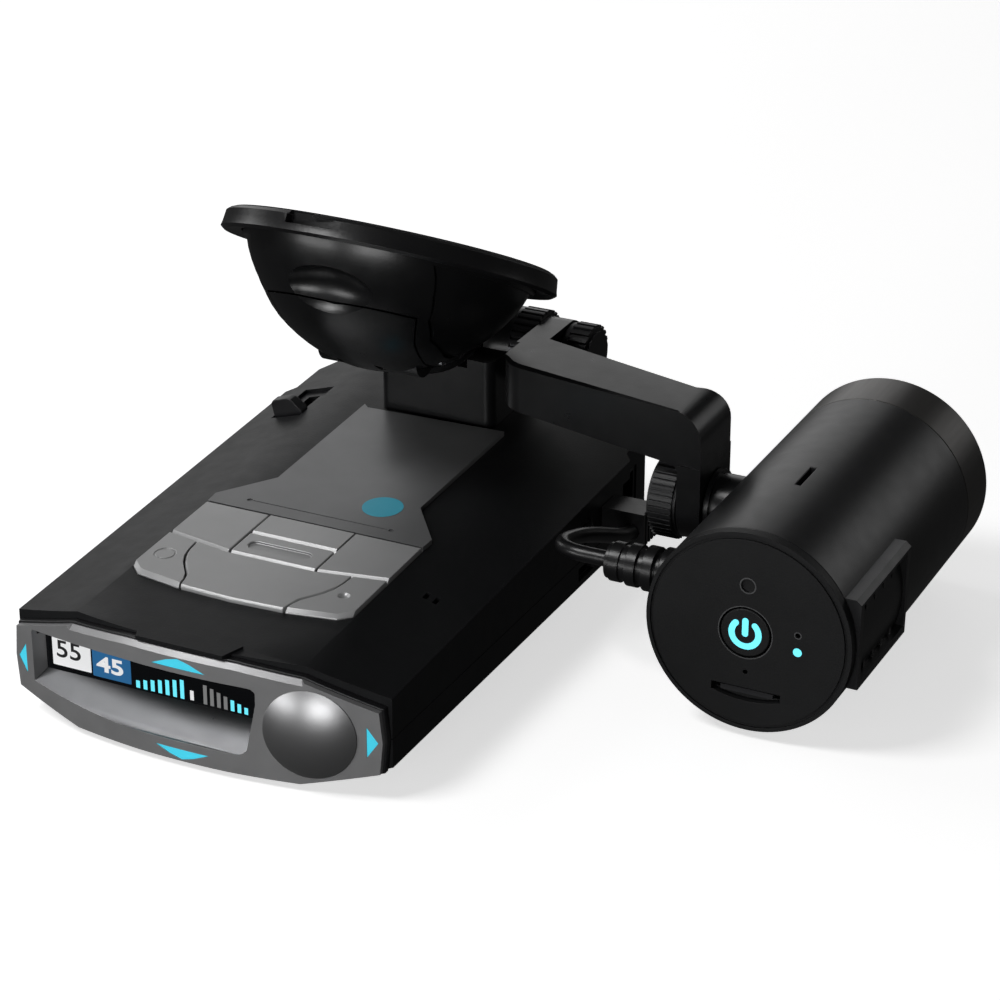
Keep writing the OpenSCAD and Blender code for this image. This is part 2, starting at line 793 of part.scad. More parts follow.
module bracket_arm() {
    color("#16171a") difference() {
        union() {
            intersection() {
                linear_extrude(70) polygon(arm_plan());
                along_y(arm_profile(), 70, 125);
            }
            box([leg_x[0], 83.8, pivot_at[1]], [leg_x[1], 100.2, 40.5]);
            rod_x(pivot_at, 8.2, leg_x[0], leg_x[1]);
            rod_x(hinge_at, 7, arm_x[0], arm_x[1]);
            along_x([[104, 41.4], [119, 38], [119, 52], [104, 52]], arm_x[0], arm_x[1]);
        }
        rod_x(hinge_at, shaft_r + 0.1, 10, 40);
        rod_x(pivot_at, shaft_r + 0.1, 50, 80);
    }
}

module pivot_bolt() {
    color("#77797c") rod_x(pivot_at, shaft_r, 57.6, 72.4);
}

module thumbwheel() {
    color("#101113") difference() {
        union() {
            grip(pivot_at, wheel_r, 58.9, 64, 44);
            rod_x(pivot_at, wheel_r - 1.1, 58.3, 64.6);
        }
        rod_x(pivot_at, shaft_r + fit_gap, 50, 80);
    }
}

// ---------------------------------------------------------------- camera

module pivot_hub() {
    color("#131416") difference() {
        union() {
            rod_x(pivot_at, 6.5, 71.3, 84);
            rod_x(pivot_at, 7.3, 70.5, 71.5);
        }
        rod_y([cam_x, cam_z], cam_r + 0.02, 0, 200);
        rod_x(pivot_at, shaft_r + fit_gap, 60, 90);
    }
}

module cam_barrel() {
    color("#0f1012") difference() {
        rod_y([cam_x, cam_z], cam_r, cam_y0 + 2.2, cam_y1 - 12.6);
        rod_y([cam_x, cam_z], cam_r - 2, cam_y0, cam_y1);
        box([cam_x - 0.6, 77.5, cam_z + 12], [cam_x + 0.6, 86.5, cam_z + 30]);
    }
}

module cam_end_cap() {
    color("#121315") difference() {
        union() {
            rod_y([cam_x, cam_z], cam_r, cam_y0, cam_y0 + 2.1);
            rod_y([cam_x, cam_z], cam_r - 2.1, cam_y0 + 2, cam_y0 + 5);
        }
        difference() {
            rod_y([cam_x, cam_z], cam_r - 0.8, cam_y0 - 1, cam_y0 + 0.5);
            rod_y([cam_x, cam_z], cam_r - 1.5, cam_y0 - 2, cam_y0 + 2);
        }
        rod_y([cam_x - 0.5, cam_z], button_r + 0.35, cam_y0 - 1, cam_y0 + 8);
        rod_y([cam_x + 10.3, cam_z - 1.9], 0.95, cam_y0 - 1, cam_y0 + 8);
        rod_y([cam_x + 10.3, cam_z + 1.8], 0.5, cam_y0 - 1, cam_y0 + 3);
        rod_y([cam_x - 0.3, cam_z + 10.2], 1.4, cam_y0 - 1, cam_y0 + 0.5);
        rod_y([cam_x - 0.2, cam_z - 8.6], 0.5, cam_y0 - 1, cam_y0 + 8);
        box([cam_x - 7.2, cam_y0 - 1, cam_z - 13.9], [cam_x + 7.2, cam_y0 + 8, cam_z - 12.1]);
        intersection() {
            rod_y([cam_x, cam_z + 7], 22, cam_y0 - 1, cam_y0 + 1.7);
            box([cam_x - 7, cam_y0 - 2, 5], [cam_x + 7, cam_y0 + 2, cam_z - 13.5]);
        }
    }
}

module cam_front_band() {
    color("#4a4643") difference() {
        union() {
            rod_y([cam_x, cam_z], cam_r, cam_y1 - 12.5, cam_y1);
            rod_y([cam_x, cam_z], cam_r - 2.1, cam_y1 - 15, cam_y1 - 12);
        }
        rod_y([cam_x, cam_z], cam_r - 3.6, 0, 200);
    }
}

module cam_window() {
    color("#0a0c0e") rod_y([cam_x, cam_z], cam_r - 3.7, cam_y1 - 3, cam_y1 - 1.4);
}

module lens_module() {
    color("#1a1b1d") difference() {
        union() {
            rod_y([cam_x, cam_z], 8, cam_y1 - 26, cam_y1 - 3.2);
            box([cam_x - 9, cam_y1 - 29, cam_z - 9], [cam_x + 9, cam_y1 - 26, cam_z + 9]);
        }
        translate([cam_x, cam_y1 + 4, cam_z]) sphere(r = 9);
    }
}

module cam_board() {
    color("#14532d") union() {
        rod_y([cam_x, cam_z], 18.4, cam_y1 - 31, cam_y1 - 29.4);
        box([cam_x - 15, 72, cam_z + 4], [cam_x + 15, cam_y1 - 31, cam_z + 5.6]);
    }
}

module power_button() {
    color("#141517") union() {
        rod_y([cam_x - 0.5, cam_z], button_r, cam_y0 - 0.1, cam_y0 + 5.6);
        rod_y([cam_x - 0.5, cam_z], button_r + 1.6, cam_y0 + 5.2, cam_y0 + 6);
    }
}

module status_light() {
    color("#35c4e8") rod_y([cam_x + 10.3, cam_z - 1.9], 0.9, cam_y0 + 0.1, cam_y0 + 4);
}

// The memory card, standing just inside the slot
module microsd_card() {
    color("#202225") union() {
        box([cam_x - 5.5, cam_y0 + 0.6, cam_z - 13.5], [cam_x + 5.5, cam_y0 + 15.4, cam_z - 12.7]);
        box([cam_x - 5.5, cam_y0 + 0.6, cam_z - 13.7], [cam_x + 5.5, cam_y0 + 1.6, cam_z - 12.6]);
    }
}

module card_socket() {
    color("#9a9da0") difference() {
        box([cam_x - 7.2, cam_y0 + 5.2, cam_z - 14.6], [cam_x + 7.2, cam_y0 + 19, cam_z - 11.2]);
        box([cam_x - 5.9, cam_y0 + 4, cam_z - 13.9], [cam_x + 5.9, cam_y0 + 17.4, cam_z - 12.2]);
    }
}

// Side dock: a rectangular frame with ribs on its floor
module cam_dock() {
    y0 = cam_y0 + 2.4;
    color("#121315") difference() {
        union() {
            difference() {
                along_x([[y0, 15], [83, 14.6], [84, 34.2], [y0, 34.2]], 106, 115.4);
                box([110, y0 + 1.6, 16.4], [120, 82, 32.6]);
            }
            for (y = [62, 67, 72, 77]) box([107, y, 15.6], [114.1, y + 1.2, 33.5]);
        }
        rod_y([cam_x, cam_z], cam_r + 0.02, 0, 200);
        along_y([[114.2, 34.3], [118, 34.3], [118, 31]], 50, 90);
    }
}

module strain_relief() {
    color("#121315") difference() {
        union() {
            rod_x(relief_at, 3.7, relief_x0, 80);
            for (i = [0 : 3]) rod_x(relief_at, 4.1 + i * 0.3, relief_x0 + 0.9 + i * 3.7, relief_x0 + 3.2 + i * 3.7);
        }
        rod_y([cam_x, cam_z], cam_r + 0.02, 0, 200);
    }
}

// ---------------------------------------------------------------- lead

function route_dir(i) = let (a = lead_route[max(i - 1, 0)], b = lead_route[min(i + 1, len(lead_route) - 1)]) (b - a) / norm(b - a);

function ring(i) = let (d = route_dir(i), s = cross(d, [0, 0, 1]) / norm(cross(d, [0, 0, 1])), u = cross(s, d))
    [for (k = [0 : 7]) lead_route[i] + (s * cos(45 * k) + u * sin(45 * k)) * lead_d / 2];

module lead() {
    n = len(lead_route);
    points = [for (i = [0 : n - 1]) for (p = ring(i)) p];
    sides = [for (i = [0 : n - 2]) for (k = [0 : 7]) [i * 8 + k, i * 8 + (k + 1) % 8, (i + 1) * 8 + (k + 1) % 8, (i + 1) * 8 + k]];
    first = [for (k = [7 : -1 : 0]) k];
    last = [for (k = [0 : 7]) (n - 1) * 8 + k];
    color("#101113") polyhedron(points, concat([first], sides, [last]), convexity = 6);
}

// Right-angle plug: its body lies along the wall and its pin goes into the socket
module lead_plug() {
    color("#101113") union() {
        difference() {
            box([42.7, 97, 13.4], [52.4, 104, 21]);
            for (i = [0 : 3]) box([52, 97.9 + i * 1.5, 13], [53, 98.6 + i * 1.5, 22]);
            rod_y([49.6, 16.6], lead_d / 2 + 0.08, 96, 97.6);
        }
        rod_x(plug_at, 1.44, 34, 43);
    }
}

in_row_frame() top_shell();
in_row_frame() bottom_shell();
in_row_frame() front_bezel();
in_row_frame() bezel_frame();
in_row_frame() display_window();
in_row_frame() display_module();
in_row_frame() rear_laser_lens();
in_row_frame() arrow_lights();
in_row_frame() control_plate();
in_row_frame() left_key();
in_row_frame() upper_key();
in_row_frame() bar_key();
in_row_frame() right_key();
in_row_frame() left_corner_key();
in_row_frame() centre_key();
in_row_frame() right_corner_key();
in_row_frame() key_mat();
in_row_frame() main_board();
in_row_frame() forward_horn();
in_row_frame() rearward_horn();
in_row_frame() front_laser_lens();
in_row_frame() speaker();
in_row_frame() gps_antenna();
in_row_frame() case_screws();
in_row_frame() release_button();
in_row_frame() latch_spring();
in_row_frame() mount_magnets();
in_row_frame() power_jack();
in_row_frame() headphone_jack();
in_row_frame() camera_socket();
in_row_frame() data_port();
in_row_frame() mount_neck();
in_row_frame() hinge_bolt();
in_row_frame() toothed_washer();
in_row_frame() hinge_knob();
in_row_frame() cup_housing();
in_row_frame() cup_rim();
in_row_frame() suction_pad();
in_row_frame() plunger();
in_row_frame() cup_lever();
in_row_frame() lever_pin();
in_row_frame() bracket_arm();
in_row_frame() pivot_bolt();
in_row_frame() thumbwheel();
in_row_frame() pivot_hub();
in_row_frame() cam_barrel();
in_row_frame() cam_end_cap();
in_row_frame() cam_front_band();
in_row_frame() cam_window();
in_row_frame() lens_module();
in_row_frame() cam_board();
in_row_frame() power_button();
in_row_frame() status_light();
in_row_frame() microsd_card();
in_row_frame() card_socket();
in_row_frame() cam_dock();
in_row_frame() strain_relief();
in_row_frame() lead();
in_row_frame() lead_plug();
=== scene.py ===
import json
import math

import bmesh
import bpy
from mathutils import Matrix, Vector


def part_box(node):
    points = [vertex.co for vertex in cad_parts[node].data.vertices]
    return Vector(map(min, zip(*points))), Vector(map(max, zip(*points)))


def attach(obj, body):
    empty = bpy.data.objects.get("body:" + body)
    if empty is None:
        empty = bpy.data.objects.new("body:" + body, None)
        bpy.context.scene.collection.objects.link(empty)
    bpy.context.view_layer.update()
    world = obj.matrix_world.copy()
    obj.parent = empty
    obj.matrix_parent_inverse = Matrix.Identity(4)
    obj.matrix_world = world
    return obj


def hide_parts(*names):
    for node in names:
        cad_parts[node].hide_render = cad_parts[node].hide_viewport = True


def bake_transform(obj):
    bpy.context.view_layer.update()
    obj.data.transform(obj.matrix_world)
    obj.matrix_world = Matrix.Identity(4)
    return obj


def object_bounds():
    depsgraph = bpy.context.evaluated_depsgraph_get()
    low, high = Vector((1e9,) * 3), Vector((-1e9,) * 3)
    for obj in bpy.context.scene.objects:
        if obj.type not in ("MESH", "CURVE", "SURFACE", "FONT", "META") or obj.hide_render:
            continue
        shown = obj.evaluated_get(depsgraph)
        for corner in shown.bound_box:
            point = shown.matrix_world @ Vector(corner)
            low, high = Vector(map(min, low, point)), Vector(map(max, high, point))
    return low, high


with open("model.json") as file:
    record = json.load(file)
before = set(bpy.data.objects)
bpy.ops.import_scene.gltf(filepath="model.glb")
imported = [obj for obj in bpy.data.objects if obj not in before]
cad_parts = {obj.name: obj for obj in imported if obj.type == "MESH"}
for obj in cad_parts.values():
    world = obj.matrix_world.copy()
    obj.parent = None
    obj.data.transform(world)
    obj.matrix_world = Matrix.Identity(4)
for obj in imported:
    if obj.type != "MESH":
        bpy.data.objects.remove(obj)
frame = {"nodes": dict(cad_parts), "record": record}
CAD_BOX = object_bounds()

MM = 0.001
DEPTH, RISE = 85, 78  # the row frame's origin in the detector's own frame, in mm
BODY_OF = {n: b for b, nodes in frame["record"]["behaviour"]["bodies"].items() for n in nodes}


def at(x, y, z):
    """A point of the detector's own frame, in mm, as a point of the row frame, in metres."""
    return Vector((x, y - DEPTH, z - RISE)) * MM


def mm_at(point):
    """The other way round: a point of the row frame as one of the detector's own frame."""
    return point / MM + Vector((0, DEPTH, RISE))


def face_of(name):
    """The Y value, in mm, of the face that a CAD node turns towards the driver."""
    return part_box(name)[0].y / MM + DEPTH


def on_circle(centre, radius, degrees):
    """A point on a circle, as a pair of numbers."""
    a = math.radians(degrees)
    return centre[0] + radius * math.cos(a), centre[1] + radius * math.sin(a)


# ---------------------------------------------------------------- camera

cam = bpy.data.objects.new("camera", bpy.data.cameras.new("camera"))
bpy.context.scene.collection.objects.link(cam)
cam.data.sensor_width = 36
cam.data.lens = 110.43
cam.location = (0.280007, -0.524779, 0.224537)
cam.rotation_euler = (math.radians(64.485), 0, math.radians(25.96))
bpy.context.scene.camera = cam


# ---------------------------------------------------------------- materials

def node(tree, kind, inputs=None):
    """A shader node, with the given values on its inputs."""
    n = tree.nodes.new(kind)
    for name, value in (inputs or {}).items():
        n.inputs[name].default_value = value
    return n


def surface(name, colour, rough, metallic=0.0, specular=0.4, grain=1600, bump=0.1, mottle=45, vary=0.15,
            rough_vary=0.06, stretch=(1, 1, 1), coat=0.0, glow=None, glow_strength=1.0):
    """A moulded or painted surface: uneven colour, uneven gloss and fine grain."""
    m = bpy.data.materials.new(name)
    m.use_nodes = True
    t = m.node_tree
    link = t.links.new
    bsdf = t.nodes["Principled BSDF"]
    place = node(t, "ShaderNodeTexCoord")
    scale = node(t, "ShaderNodeMapping", {"Scale": stretch})
    link(place.outputs["Object"], scale.inputs["Vector"])

    patches = node(t, "ShaderNodeTexNoise", {"Scale": mottle, "Detail": 4.0, "Roughness": 0.6})
    link(scale.outputs["Vector"], patches.inputs["Vector"])
    tint = node(t, "ShaderNodeValToRGB")
    dark, light = tint.color_ramp.elements
    dark.position, light.position = 0.3, 0.72
    dark.color = [c * (1 - vary) for c in colour] + [1]
    light.color = [min(1, c * (1 + vary)) for c in colour] + [1]
    link(patches.outputs["Fac"], tint.inputs["Fac"])
    link(tint.outputs["Color"], bsdf.inputs["Base Color"])

    gloss = node(t, "ShaderNodeMapRange",
                 {"To Min": max(0.02, rough - rough_vary), "To Max": min(1, rough + rough_vary)})
    cloud = node(t, "ShaderNodeTexNoise", {"Scale": mottle * 6, "Detail": 3.0})
    link(scale.outputs["Vector"], cloud.inputs["Vector"])
    link(cloud.outputs["Fac"], gloss.inputs["Value"])
    link(gloss.outputs["Result"], bsdf.inputs["Roughness"])

    if bump:
        fine = node(t, "ShaderNodeTexNoise", {"Scale": grain, "Detail": 2.0, "Roughness": 0.5})
        link(scale.outputs["Vector"], fine.inputs["Vector"])
        height = node(t, "ShaderNodeBump", {"Strength": bump, "Distance": 0.0001})
        link(fine.outputs["Fac"], height.inputs["Height"])
        link(height.outputs["Normal"], bsdf.inputs["Normal"])

    bsdf.inputs["Metallic"].default_value = metallic
    bsdf.inputs["Specular IOR Level"].default_value = specular
    bsdf.inputs["Coat Weight"].default_value = coat
    bsdf.inputs["Coat Roughness"].default_value = 0.1
    if glow:
        bsdf.inputs["Emission Color"].default_value = list(glow) + [1]
        bsdf.inputs["Emission Strength"].default_value = glow_strength
    return m


def screen(name, colour, glow, strength, vary=0.05):
    """A lit patch of the display."""
    return surface(name, colour, 0.4, grain=3000, bump=0.02, vary=vary, glow=glow, glow_strength=strength)


# the detector's case and keys
CASE = surface("case_black", (0.0065, 0.0068, 0.0075), 0.44, specular=0.24, grain=2600, bump=0.22)
SILVER = surface("bezel_silver", (0.34, 0.34, 0.345), 0.42, metallic=0.7, grain=4200, bump=0.12, vary=0.05)
HOOD = surface("hood_silver", (0.075, 0.076, 0.079), 0.3, metallic=0.8, grain=4200, bump=0.08, vary=0.05)
DOME = surface("lens_smoke", (0.30, 0.30, 0.305), 0.36, metallic=0.9, grain=5200, bump=0.05, vary=0.03,
               rough_vary=0.01)
GASKET = surface("gasket_black", (0.010, 0.010, 0.011), 0.35, grain=2200, bump=0.15)
PLATE = surface("plate_grey", (0.195, 0.197, 0.20), 0.36, metallic=0.55, grain=5200, vary=0.06)
KEYS = surface("key_grey", (0.42, 0.422, 0.425), 0.38, metallic=0.5, grain=5200, vary=0.05)

# the mount and the camera
MOUNT = surface("mount_black", (0.0045, 0.0046, 0.005), 0.30, specular=0.42, grain=1800, bump=0.08)
MOUNT_DULL = surface("mount_black_dull", (0.011, 0.011, 0.012), 0.45, grain=2200, bump=0.2)
CAMERA = surface("camera_black", (0.010, 0.0102, 0.011), 0.36, specular=0.5, grain=2600, bump=0.12)
CAP = surface("camera_cap", (0.0085, 0.0087, 0.0092), 0.5, specular=0.25, grain=3400, bump=0.3)
BAND = surface("band_bronze", (0.085, 0.082, 0.079), 0.36, metallic=0.75, grain=500, bump=0.16, mottle=180,
               vary=0.14, stretch=(1, 0.06, 1))
RUBBER = surface("soft_rubber", (0.006, 0.006, 0.0065), 0.32, specular=0.45, grain=1500, bump=0.2)
PAD = surface("pad_rubber", (0.02, 0.021, 0.022), 0.22, specular=0.5, grain=700, bump=0.05)

# metal and the pieces inside
STEEL = surface("steel", (0.42, 0.42, 0.43), 0.28, metallic=1.0, grain=900, stretch=(0.1, 1, 1))
BLUED = surface("steel_black", (0.03, 0.03, 0.032), 0.3, metallic=0.7, grain=900, bump=0.12)
BOARD = surface("circuit_board", (0.01, 0.09, 0.035), 0.4, grain=300, bump=0.3, mottle=300, vary=0.4)
HORN = surface("horn_metal", (0.55, 0.52, 0.46), 0.35, metallic=1.0, grain=400, bump=0.2)
SPEAKER = surface("speaker_black", (0.02, 0.02, 0.02), 0.6, grain=500, bump=0.4)
CERAMIC = surface("antenna_ceramic", (0.5, 0.46, 0.38), 0.5, grain=600, bump=0.2)
INFRARED = surface("infrared_lens", (0.02, 0.002, 0.004), 0.08, specular=0.6, grain=300, bump=0.02, coat=0.6)
JACK = surface("jack_black", (0.006, 0.006, 0.007), 0.35, grain=1500, bump=0.12)
CARD = surface("card_black", (0.02, 0.02, 0.022), 0.35, specular=0.5, grain=1400, bump=0.08)
# the dock's grey top, and also the painted highlight on the rims of the end cap's grooves
DOCK_TOP_AND_RING_HIGHLIGHT = surface("dock_grey_and_ring_highlight", (0.085, 0.086, 0.088), 0.42, metallic=0.2, grain=3400, bump=0.2)

# lights, marks, glass and the display
CYAN = surface("arrow_cyan", (0.05, 0.45, 0.60), 0.3, grain=700, bump=0.03, mottle=120, vary=0.12,
               glow=(0.055, 0.56, 0.72), glow_strength=0.55)
ICON = surface("icon_cyan", (0.1, 0.6, 0.7), 0.35, grain=900, bump=0.03, vary=0.05,
               glow=(0.18, 0.82, 0.95), glow_strength=0.85)
BADGE = surface("badge_cyan", (0.035, 0.33, 0.45), 0.45, grain=3000, bump=0.08, vary=0.05)
GLASS = surface("display_glass", (0.0035, 0.004, 0.005), 0.12, specular=0.5, grain=400, bump=0.01)
LENS = surface("camera_glass", (0.003, 0.003, 0.006), 0.06, specular=0.8, grain=300, bump=0.01, coat=0.5)
SCREEN_WHITE = screen("screen_white", (0.5, 0.5, 0.5), (0.85, 0.86, 0.87), 0.55, vary=0.04)
SCREEN_BLUE = screen("screen_blue", (0.012, 0.08, 0.18), (0.02, 0.13, 0.32), 0.5)
SCREEN_CYAN = screen("screen_cyan", (0.1, 0.55, 0.65), (0.14, 0.72, 0.85), 0.75, vary=0.04)
SCREEN_GREY = screen("screen_grey", (0.18, 0.18, 0.18), (0.25, 0.25, 0.25), 0.3)
INK = surface("ink_dark", (0.012, 0.012, 0.013), 0.5, grain=3000, bump=0.05, vary=0.1)


# ---------------------------------------------------------------- pieces from the frame's own solids

def new_object(name, bm, materials, smooth=40):
    """An object in the scene, shaded smooth only where its faces meet at a shallow angle."""
    for f in bm.faces:
        f.smooth = any(0.015 < e.calc_face_angle(0) < math.radians(smooth) for e in f.edges)
    mesh = bpy.data.meshes.new(name)
    bm.to_mesh(mesh)
    bm.free()
    for m in materials:
        mesh.materials.append(m)
    mesh.set_sharp_from_angle(angle=math.radians(smooth))
    obj = bpy.data.objects.new(name, mesh)
    bpy.context.scene.collection.objects.link(obj)
    return obj


def dress(name, material, width=0.3, segments=2, angle=26, second=None, chamfer=(), clamp=True, merge=True):
    """Stands for a CAD node: the same shape with its edges rounded, as moulded edges are.

    second is another material and the test that picks its faces. Each chamfer is a size in mm and the test
    that picks its edges."""
    source = frame["nodes"][name]
    bm = bmesh.new()
    for v in source.data.vertices:
        bm.verts.new(v.co)
    bm.verts.ensure_lookup_table()
    for p in source.data.polygons:
        try:
            bm.faces.new([bm.verts[i] for i in p.vertices])
        except ValueError:  # a face that is there already
            pass
    bmesh.ops.remove_doubles(bm, verts=bm.verts, dist=2e-6)
    bmesh.ops.dissolve_degenerate(bm, edges=bm.edges, dist=2e-6)
    if merge:
        bmesh.ops.dissolve_limit(bm, angle_limit=math.radians(0.8), verts=bm.verts, edges=bm.edges)
    bmesh.ops.recalc_face_normals(bm, faces=bm.faces)
    for size, test in chamfer:
        rims = [e for e in bm.edges if len(e.link_faces) == 2 and e.calc_face_angle(0) > 0.4 and test(e)]
        bmesh.ops.bevel(bm, geom=rims, offset=size * MM, offset_type="OFFSET", segments=1, profile=0.5,
                        affect="EDGES", clamp_overlap=clamp)
    materials = [material]
    if second:
        materials.append(second[0])
        for f in bm.faces:
            if second[1](f):
                f.material_index = 1
    obj = new_object("skin_" + name, bm, materials, angle)
    if width:
        w = obj.modifiers.new("rounded_edges", "BEVEL")
        w.width = width * MM
        w.segments = segments
        w.limit_method = "ANGLE"
        w.angle_limit = math.radians(angle)
        w.harden_normals = True
        w.use_clamp_overlap = True
    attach(obj, BODY_OF[name])
    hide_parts(name)


def paint(name, material):
    """Gives a CAD node that stays as it is a better material."""
    obj = frame["nodes"][name]
    if not obj.material_slots:
        obj.data.materials.append(material)
    for s in obj.material_slots:
        s.material = material


for material, names in (
    (GLASS, ["display_window"]),
    (JACK, ["display_module", "power_jack", "headphone_jack", "camera_socket", "data_port"]),
    (RUBBER, ["key_mat", "lead_plug"]),
    (BOARD, ["main_board", "cam_board"]),
    (HORN, ["forward_horn", "rearward_horn"]),
    (INFRARED, ["front_laser_lens"]),
    (SPEAKER, ["speaker"]),
    (CERAMIC, ["gps_antenna"]),
    (STEEL, ["case_screws", "latch_spring", "mount_magnets", "plunger", "lever_pin", "card_socket"]),
    (BLUED, ["hinge_bolt", "toothed_washer", "pivot_bolt"]),
    (PAD, ["suction_pad"]),
    (LENS, ["cam_window", "lens_module"]),
    (CARD, ["microsd_card"]),
    (ICON, ["status_light"]),
):
    for name in names:
        paint(name, material)

# The bowed front of the case, in mm: its radius, its foremost point, and the heights and widths between
# which the edges round the display's window lie
BOW_RADIUS = 153
BOW_FRONT = -5.1
WINDOW_TOP = 23.9
RIM_HALF = 26
HOOD_TOP = 12.5
HOOD_MIDDLE, HOOD_HALF = -10, 30
DOCK_FACE = 32  # height above which the dock's upward faces are its grey top


def behind_face(point):
    """How far a point lies behind the bowed front face, in mm."""
    return point.y - (BOW_FRONT + BOW_RADIUS - math.sqrt(BOW_RADIUS * BOW_RADIUS - point.x * point.x))


def top_rim(e):
    """The bezel's long upper edge, at its front."""
    a, b = (mm_at(v.co) for v in e.verts)
    return (min(a.z, b.z) > WINDOW_TOP and max(abs(a.x), abs(b.x)) < RIM_HALF and
            max(behind_face(a), behind_face(b)) < 0.3)


def hood_lip(e):
    """The front edge of the hood's floor."""
    a, b = (mm_at(v.co) for v in e.verts)
    n = [f.normal for f in e.link_faces]
    return (max(v.z for v in n) > 0.5 and min(v.y for v in n) < -0.85 and max(a.z, b.z) < HOOD_TOP and
            max(behind_face(a), behind_face(b)) < 0.5)


def hood_floor(f):
    """The sloping floor of the tunnel between the window and the display."""
    c = mm_at(f.calc_center_median())
    return f.normal.z > 0.5 and c.z < HOOD_TOP and behind_face(c) > 0.8 and abs(c.x - HOOD_MIDDLE) < HOOD_HALF


def front_edge(e):
    """An upper edge of a plate or key, on the side that looks towards the driver."""
    return (e.calc_length() > 1.2 * MM and any(f.normal.z > 0.9 for f in e.link_faces) and
            any(f.normal.y < -0.35 for f in e.link_faces))


def bar_edge(e):
    """The front edge of the bar key, without the rim of its groove."""
    return front_edge(e) and max(v.co.y for v in e.verts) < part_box("bar_key")[0].y + 1.5 * MM


def arm_edge(e):
    """The front edge of the arm's top, without the step over its leg."""
    return front_edge(e) and min(v.co.z for v in e.verts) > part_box("bracket_arm")[1].z - 4 * MM


def dock_top(f):
    """The upper face of the camera's side dock."""
    return f.normal.z > 0.9 and mm_at(f.calc_center_median()).z > DOCK_FACE


# the case
dress("top_shell", CASE, 0.35, 2)
dress("bottom_shell", CASE, 0.35, 2)
dress("front_bezel", SILVER, 0.3, 3, second=(HOOD, hood_floor), chamfer=((0.95, top_rim), (0.4, hood_lip)))
dress("bezel_frame", GASKET, 0.25, 2)
dress("rear_laser_lens", DOME, 0)
dress("arrow_lights", CYAN, 0.12, 1)
dress("control_plate", PLATE, 0.3, 2, chamfer=((0.8, front_edge),))
for name in ("left_key", "upper_key", "bar_key", "right_key", "left_corner_key", "centre_key",
             "right_corner_key"):
    dress(name, KEYS, 0.35, 2, chamfer=((0.8, bar_edge if name == "bar_key" else front_edge),))
dress("release_button", JACK, 0.35, 3)

# the mount. The arm's chamfer isn't clamped, or short edges next to it would stop it. The thumbwheel's
# flat faces aren't merged, because the merged ones cut into the bolt
dress("mount_neck", MOUNT, 0.5, 3)
dress("bracket_arm", MOUNT, 0.25, 2, chamfer=((0.7, arm_edge),), clamp=False)
dress("hinge_knob", MOUNT_DULL, 0.15, 1)
dress("thumbwheel", MOUNT_DULL, 0.12, 1, merge=False)
dress("pivot_hub", MOUNT, 0.4, 3)
dress("cup_housing", MOUNT, 0.3, 2, 32)
dress("cup_lever", MOUNT, 0.3, 2, 32)
dress("cup_rim", RUBBER, 0.25, 2, 32)

# the camera
dress("cam_barrel", CAMERA, 0.2, 2)
dress("cam_end_cap", CAP, 0.2, 2)
dress("cam_front_band", BAND, 0.2, 2)
dress("cam_dock", CAMERA, 0.25, 2, second=(DOCK_TOP_AND_RING_HIGHLIGHT, dock_top))
dress("power_button", CAP, 0.25, 3)
dress("strain_relief", RUBBER, 0.15, 2)


# ---------------------------------------------------------------- small parts drawn here

def plate_into(bm, points, y0, y1, index=0):
    """A flat tile with its outline in X and Z, between two Y values, in mm."""
    front = [bm.verts.new(at(x, y0, z)) for x, z in points]
    back = [bm.verts.new(at(x, y1, z)) for x, z in points]
    faces = [bm.faces.new(front), bm.faces.new(back[::-1])]
    n = len(points)
    for i in range(n):
        faces.append(bm.faces.new([front[i], back[i], back[(i + 1) % n], front[(i + 1) % n]]))
    for f in faces:
        f.material_index = index


def rounded(x0, z0, x1, z1, r, steps=4):
    """The outline of a rectangle with round corners."""
    corners = (((x1 - r, z1 - r), 0), ((x0 + r, z1 - r), 90), ((x0 + r, z0 + r), 180), ((x1 - r, z0 + r), 270))
    return [on_circle(centre, r, start + 90 * i / steps) for centre, start in corners for i in range(steps + 1)]


def make(name, bm, materials, body):
    """A small piece with the given materials, that rides on a body of the record."""
    bmesh.ops.recalc_face_normals(bm, faces=bm.faces)
    obj = new_object(name, bm, materials, 35)
    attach(obj, body)


FIGURE_EXTRUDE = 0.02  # half the depth of a figure as Blender draws it
FIGURE_DEPTH = 0.04  # half its depth on the display, in mm


def digits(name, text, x, z, height, y, material, body, bold=0.0, wide=1.0):
    """Plain figures, standing upright on a face that looks towards the driver."""
    curve = bpy.data.curves.new(name, "FONT")
    curve.body = text
    curve.size = 1
    curve.extrude = FIGURE_EXTRUDE
    curve.offset = bold
    holder = bpy.data.objects.new(name, curve)
    bpy.context.scene.collection.objects.link(holder)
    bpy.context.view_layer.update()
    mesh = bpy.data.meshes.new_from_object(holder)
    bpy.data.objects.remove(holder)
    lo = min(v.co.y for v in mesh.vertices)
    hi = max(v.co.y for v in mesh.vertices)
    left = min(v.co.x for v in mesh.vertices)
    k = height / (hi - lo)
    for v in mesh.vertices:
        v.co = at(x + (v.co.x - left) * k * wide, y - v.co.z / FIGURE_EXTRUDE * FIGURE_DEPTH,
                  z + (v.co.y - lo) * k)
    mesh.materials.clear()
    mesh.materials.append(material)
    obj = bpy.data.objects.new(name, mesh)
    bpy.context.scene.collection.objects.link(obj)
    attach(obj, body)


